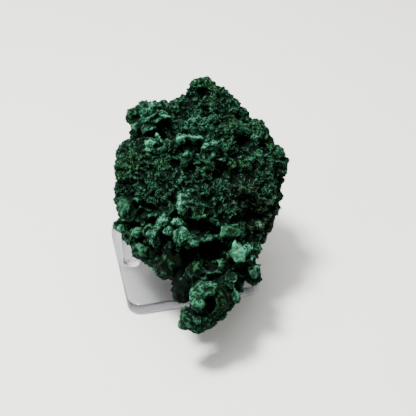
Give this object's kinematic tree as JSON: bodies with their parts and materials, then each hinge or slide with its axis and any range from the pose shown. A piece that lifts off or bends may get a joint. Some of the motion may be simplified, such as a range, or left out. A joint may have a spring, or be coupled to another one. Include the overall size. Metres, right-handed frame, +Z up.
{
  "type": "malachite specimen",
  "caption": "Lumpy dark green malachite specimen, resting on the peg tips of a small clear acrylic display stand.",
  "frame": {"origin": "centre of the base plate's underside", "axes": "+Z up, away from the table; +X and +Y along two sides of the square base plate; the specimen's long lower tip points to -Y"},
  "size_m": [0.0676, 0.0976, 0.0785],
  "materials": {
    "malachite": "rough crystalline crust with velvety knobs",
    "acrylic": "clear, polished"
  },
  "bodies": {
    "root": {"malachite": "malachite", "base_plate": "acrylic", "peg_left": "acrylic", "peg_front": "acrylic", "peg_back": "acrylic"}
  },
  "joints": []
}
